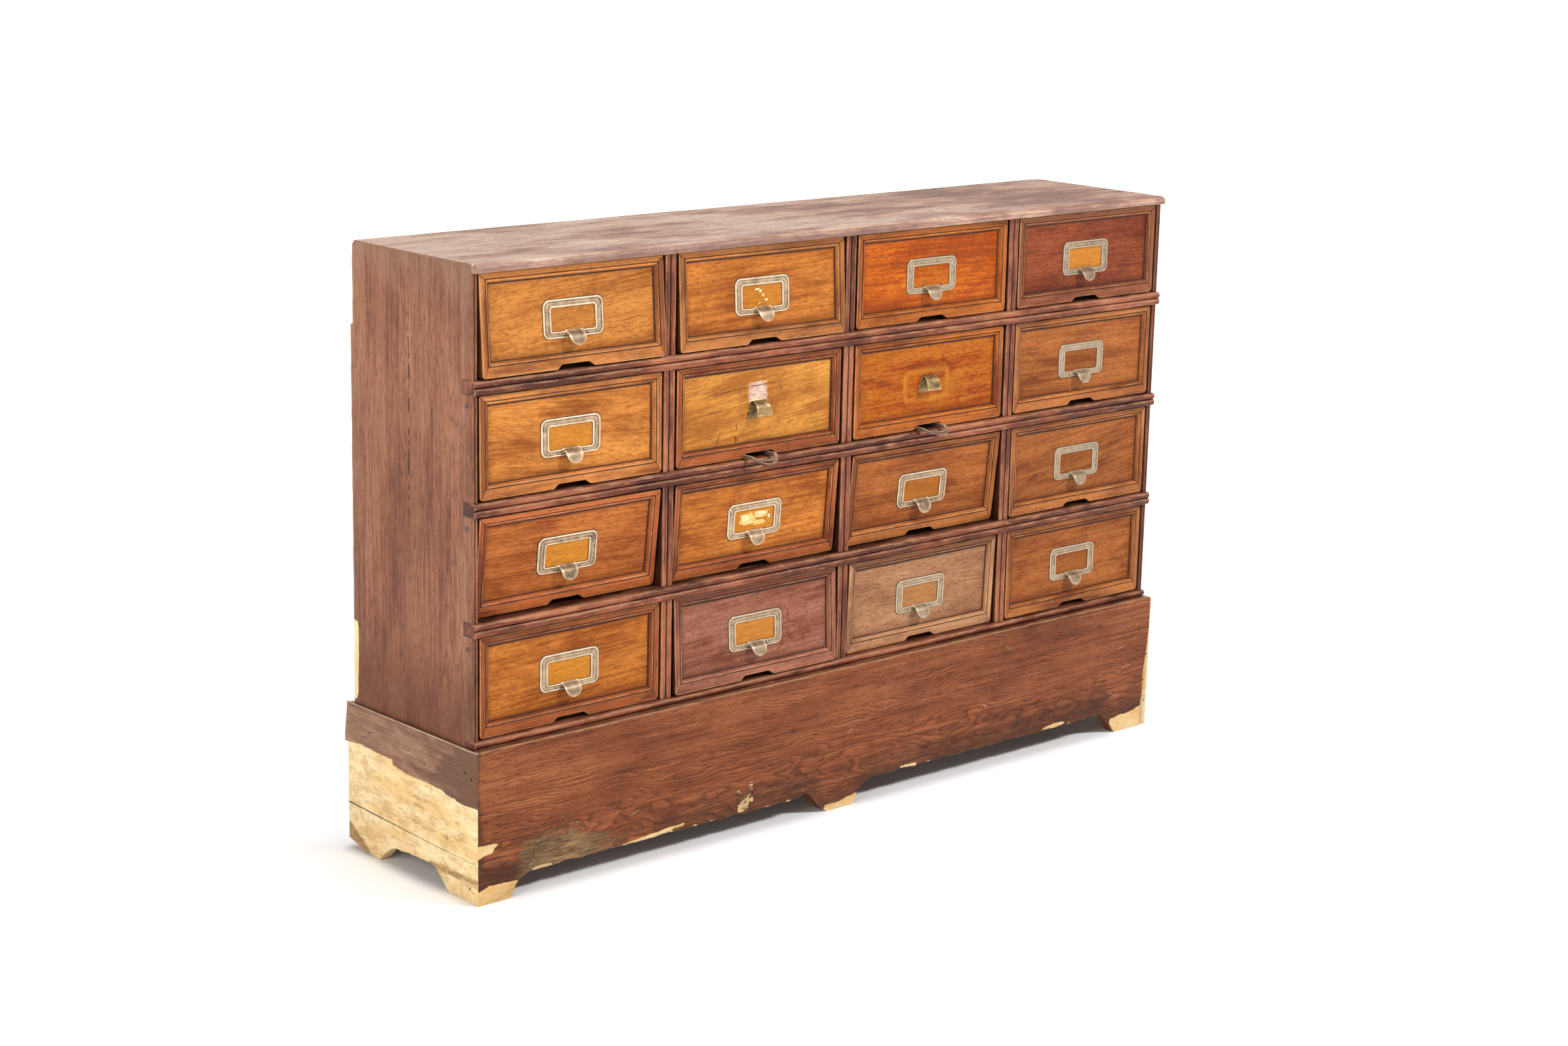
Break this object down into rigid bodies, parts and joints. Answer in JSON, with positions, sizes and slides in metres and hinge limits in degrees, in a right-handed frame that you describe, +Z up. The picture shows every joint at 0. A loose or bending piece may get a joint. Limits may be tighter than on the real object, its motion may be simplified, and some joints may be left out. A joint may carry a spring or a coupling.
{
  "type": "filing cabinet",
  "caption": "Low oak filing cabinet on a bracket-foot plinth, with rows of panelled top-hinged flaps, metal label holders with finger tongues, and sliding file trays behind the flaps.",
  "frame": {"origin": "on the floor plane, at the middle of the whole cabinet's footprint", "axes": "+X along the width to the cabinet's right as seen from the front, +Y from front to back, +Z up"},
  "size_m": [1.353, 0.3321, 0.87],
  "materials": {
    "oak_top": "worn waxed oak, greyed, with scratches",
    "oak_case": "worn dark oak",
    "oak_rail": "dark red-brown oak with worn edges",
    "oak_plinth": "dark oak veneer over pale oak",
    "oak_flap": "orange-brown shellacked oak",
    "oak_inner": "plain unfinished wood",
    "nickel": "tarnished nickel-plated sheet metal",
    "brass": "dull worn brass",
    "steel": "dull bare steel"
  },
  "bodies": {
    "cabinet": {"top_board": "oak_top", "side_panel_left": "oak_case", "side_panel_right": "oak_case", "back_panel": "oak_inner", "bottom_board": "oak_rail", "shelves": "oak_rail", "dividers": "oak_rail", "plinth_front": "oak_plinth", "plinth_side_left": "oak_plinth", "plinth_side_right": "oak_plinth", "plinth_back": "oak_inner", "corner_blocks": "oak_inner", "side_screws": "steel"},
    "front_r1c1": {"flap_r1c1": "oak_flap", "label_pull_pins_r1c1": "nickel"},
    "drawer_r1c1": {"tray_r1c1": "oak_inner"},
    "front_r1c2": {"flap_r1c2": "oak_flap", "label_pull_pins_r1c2": "nickel"},
    "drawer_r1c2": {"tray_r1c2": "oak_inner"},
    "front_r1c3": {"flap_r1c3": "oak_flap", "label_pull_pins_r1c3": "nickel"},
    "drawer_r1c3": {"tray_r1c3": "oak_inner"},
    "front_r1c4": {"flap_r1c4": "oak_flap", "label_pull_pins_r1c4": "nickel"},
    "drawer_r1c4": {"tray_r1c4": "oak_inner"},
    "front_r2c1": {"flap_r2c1": "oak_flap", "label_pull_pins_r2c1": "nickel"},
    "drawer_r2c1": {"tray_r2c1": "oak_inner"},
    "front_r2c2": {"flap_r2c2": "oak_flap", "cup_pull_pins_r2c2": "brass"},
    "drawer_r2c2": {"tray_r2c2": "oak_inner", "pull_loop_r2c2": "steel"},
    "front_r2c3": {"flap_r2c3": "oak_flap", "cup_pull_pins_r2c3": "brass"},
    "drawer_r2c3": {"tray_r2c3": "oak_inner", "pull_loop_r2c3": "steel"},
    "front_r2c4": {"flap_r2c4": "oak_flap", "label_pull_pins_r2c4": "nickel"},
    "drawer_r2c4": {"tray_r2c4": "oak_inner"},
    "front_r3c1": {"flap_r3c1": "oak_flap", "label_pull_pins_r3c1": "nickel"},
    "front_r3c2": {"flap_r3c2": "oak_flap", "label_pull_pins_r3c2": "nickel"},
    "front_r3c3": {"flap_r3c3": "oak_flap", "label_pull_pins_r3c3": "nickel"},
    "front_r3c4": {"flap_r3c4": "oak_flap", "label_pull_pins_r3c4": "nickel"},
    "drawer_r3c4": {"tray_r3c4": "oak_inner"},
    "front_r4c1": {"flap_r4c1": "oak_flap", "label_pull_pins_r4c1": "nickel"},
    "drawer_r4c1": {"tray_r4c1": "oak_inner"},
    "front_r4c2": {"flap_r4c2": "oak_flap", "label_pull_pins_r4c2": "nickel"},
    "drawer_r4c2": {"tray_r4c2": "oak_inner"},
    "front_r4c3": {"flap_r4c3": "oak_flap", "label_pull_pins_r4c3": "nickel"},
    "drawer_r4c3": {"tray_r4c3": "oak_inner"},
    "front_r4c4": {"flap_r4c4": "oak_flap", "label_pull_pins_r4c4": "nickel"},
    "drawer_r4c4": {"tray_r4c4": "oak_inner"}
  },
  "joints": [
    {"name": "flap_hinge_r1c1", "type": "hinge", "parent": "cabinet", "child": "front_r1c1", "pos_m": [-0.50495, -0.127, 0.8455], "axis": [-1, 0, 0], "range_deg": [0, 86]},
    {"name": "tray_slide_r1c1", "type": "slide", "parent": "cabinet", "child": "drawer_r1c1", "axis": [0, -1, 0], "range_m": [0, 0.15]},
    {"name": "flap_hinge_r1c2", "type": "hinge", "parent": "cabinet", "child": "front_r1c2", "pos_m": [-0.1687, -0.127, 0.8455], "axis": [-1, 0, 0], "range_deg": [0, 86.8]},
    {"name": "tray_slide_r1c2", "type": "slide", "parent": "cabinet", "child": "drawer_r1c2", "axis": [0, -1, 0], "range_m": [0, 0.15]},
    {"name": "flap_hinge_r1c3", "type": "hinge", "parent": "cabinet", "child": "front_r1c3", "pos_m": [0.1687, -0.127, 0.8455], "axis": [-1, 0, 0], "range_deg": [0, 90]},
    {"name": "tray_slide_r1c3", "type": "slide", "parent": "cabinet", "child": "drawer_r1c3", "axis": [0, -1, 0], "range_m": [0, 0.15]},
    {"name": "flap_hinge_r1c4", "type": "hinge", "parent": "cabinet", "child": "front_r1c4", "pos_m": [0.50495, -0.127, 0.8455], "axis": [-1, 0, 0], "range_deg": [0, 90]},
    {"name": "tray_slide_r1c4", "type": "slide", "parent": "cabinet", "child": "drawer_r1c4", "axis": [0, -1, 0], "range_m": [0, 0.15]},
    {"name": "flap_hinge_r2c1", "type": "hinge", "parent": "cabinet", "child": "front_r2c1", "pos_m": [-0.50495, -0.127, 0.6847], "axis": [-1, 0, 0], "range_deg": [0, 89.5]},
    {"name": "tray_slide_r2c1", "type": "slide", "parent": "cabinet", "child": "drawer_r2c1", "axis": [0, -1, 0], "range_m": [0, 0.15]},
    {"name": "flap_hinge_r2c2", "type": "hinge", "parent": "cabinet", "child": "front_r2c2", "pos_m": [-0.1687, -0.127, 0.6847], "axis": [-1, 0, 0], "range_deg": [0, 90]},
    {"name": "tray_slide_r2c2", "type": "slide", "parent": "cabinet", "child": "drawer_r2c2", "axis": [0, -1, 0], "range_m": [0, 0.15]},
    {"name": "flap_hinge_r2c3", "type": "hinge", "parent": "cabinet", "child": "front_r2c3", "pos_m": [0.1687, -0.127, 0.6847], "axis": [-1, 0, 0], "range_deg": [0, 90]},
    {"name": "tray_slide_r2c3", "type": "slide", "parent": "cabinet", "child": "drawer_r2c3", "axis": [0, -1, 0], "range_m": [0, 0.15]},
    {"name": "flap_hinge_r2c4", "type": "hinge", "parent": "cabinet", "child": "front_r2c4", "pos_m": [0.50495, -0.127, 0.6847], "axis": [-1, 0, 0], "range_deg": [0, 90]},
    {"name": "tray_slide_r2c4", "type": "slide", "parent": "cabinet", "child": "drawer_r2c4", "axis": [0, -1, 0], "range_m": [0, 0.15]},
    {"name": "flap_hinge_r3c1", "type": "hinge", "parent": "cabinet", "child": "front_r3c1", "pos_m": [-0.50495, -0.127, 0.5213], "axis": [-1, 0, 0], "range_deg": [-5, 96]},
    {"name": "flap_hinge_r3c2", "type": "hinge", "parent": "cabinet", "child": "front_r3c2", "pos_m": [-0.1687, -0.127, 0.5213], "axis": [-1, 0, 0], "range_deg": [-7, 94]},
    {"name": "flap_hinge_r3c3", "type": "hinge", "parent": "cabinet", "child": "front_r3c3", "pos_m": [0.1687, -0.127, 0.5213], "axis": [-1, 0, 0], "range_deg": [-5.5, 95.4]},
    {"name": "flap_hinge_r3c4", "type": "hinge", "parent": "cabinet", "child": "front_r3c4", "pos_m": [0.50495, -0.127, 0.5213], "axis": [-1, 0, 0], "range_deg": [0, 90]},
    {"name": "tray_slide_r3c4", "type": "slide", "parent": "cabinet", "child": "drawer_r3c4", "axis": [0, -1, 0], "range_m": [0, 0.15]},
    {"name": "flap_hinge_r4c1", "type": "hinge", "parent": "cabinet", "child": "front_r4c1", "pos_m": [-0.50495, -0.127, 0.3579], "axis": [-1, 0, 0], "range_deg": [0, 90]},
    {"name": "tray_slide_r4c1", "type": "slide", "parent": "cabinet", "child": "drawer_r4c1", "axis": [0, -1, 0], "range_m": [0, 0.15]},
    {"name": "flap_hinge_r4c2", "type": "hinge", "parent": "cabinet", "child": "front_r4c2", "pos_m": [-0.1687, -0.127, 0.3579], "axis": [-1, 0, 0], "range_deg": [0, 87.5]},
    {"name": "tray_slide_r4c2", "type": "slide", "parent": "cabinet", "child": "drawer_r4c2", "axis": [0, -1, 0], "range_m": [0, 0.15]},
    {"name": "flap_hinge_r4c3", "type": "hinge", "parent": "cabinet", "child": "front_r4c3", "pos_m": [0.1687, -0.127, 0.3579], "axis": [-1, 0, 0], "range_deg": [0, 92]},
    {"name": "tray_slide_r4c3", "type": "slide", "parent": "cabinet", "child": "drawer_r4c3", "axis": [0, -1, 0], "range_m": [0, 0.15]},
    {"name": "flap_hinge_r4c4", "type": "hinge", "parent": "cabinet", "child": "front_r4c4", "pos_m": [0.50495, -0.127, 0.3579], "axis": [-1, 0, 0], "range_deg": [0, 90]},
    {"name": "tray_slide_r4c4", "type": "slide", "parent": "cabinet", "child": "drawer_r4c4", "axis": [0, -1, 0], "range_m": [0, 0.15]}
  ],
  "couplings": [
    {"joint": "flap_hinge_r1c1", "follows": "tray_slide_r1c1", "rad_per_m": 10.006},
    {"joint": "flap_hinge_r1c2", "follows": "tray_slide_r1c2", "rad_per_m": 10.099},
    {"joint": "flap_hinge_r1c3", "follows": "tray_slide_r1c3", "rad_per_m": 10.471},
    {"joint": "flap_hinge_r1c4", "follows": "tray_slide_r1c4", "rad_per_m": 10.471},
    {"joint": "flap_hinge_r2c1", "follows": "tray_slide_r2c1", "rad_per_m": 10.413},
    {"joint": "flap_hinge_r2c2", "follows": "tray_slide_r2c2", "rad_per_m": 10.471},
    {"joint": "flap_hinge_r2c3", "follows": "tray_slide_r2c3", "rad_per_m": 10.471},
    {"joint": "flap_hinge_r2c4", "follows": "tray_slide_r2c4", "rad_per_m": 10.471},
    {"joint": "flap_hinge_r3c4", "follows": "tray_slide_r3c4", "rad_per_m": 10.471},
    {"joint": "flap_hinge_r4c1", "follows": "tray_slide_r4c1", "rad_per_m": 10.471},
    {"joint": "flap_hinge_r4c2", "follows": "tray_slide_r4c2", "rad_per_m": 10.181},
    {"joint": "flap_hinge_r4c3", "follows": "tray_slide_r4c3", "rad_per_m": 10.704},
    {"joint": "flap_hinge_r4c4", "follows": "tray_slide_r4c4", "rad_per_m": 10.471}
  ]
}
